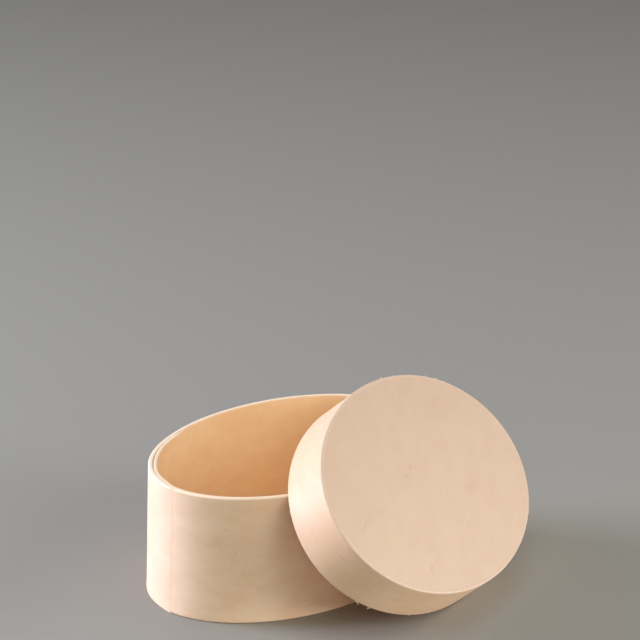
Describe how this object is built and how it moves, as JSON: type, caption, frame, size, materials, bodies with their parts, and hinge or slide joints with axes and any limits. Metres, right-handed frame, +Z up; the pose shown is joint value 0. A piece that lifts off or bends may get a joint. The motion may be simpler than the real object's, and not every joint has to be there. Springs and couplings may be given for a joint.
{
  "type": "oval chip-wood box",
  "caption": "Small oval box of thin bent wood with a lapped and glued band, open, its matching lid taken off and leaning against the side",
  "frame": {"origin": "middle of the underside of the box, on the surface that it stands on", "axes": "+X along the length of the box, away from the lap of its band, +Y across it, away from the leaning lid, +Z up"},
  "size_m": [0.1772, 0.1495, 0.0914],
  "materials": {
    "band_veneer": "sanded, unfinished",
    "board_wood": "sanded, unfinished",
    "lid_veneer": "sanded, unfinished",
    "lid_board_wood": "sanded, unfinished",
    "dry_glue": "matte"
  },
  "bodies": {
    "box": {"box_band": "band_veneer", "bottom_board": "board_wood", "box_lap_glue": "dry_glue", "box_board_glue": "dry_glue"},
    "lid": {"lid_band": "lid_veneer", "lid_board": "lid_board_wood", "lid_lap_glue": "dry_glue", "lid_board_glue": "dry_glue"}
  },
  "joints": [
    {"name": "lid_lift", "type": "slide", "parent": "box", "child": "lid", "axis": [0, 0, 1], "range_m": [0, 0.1]}
  ]
}
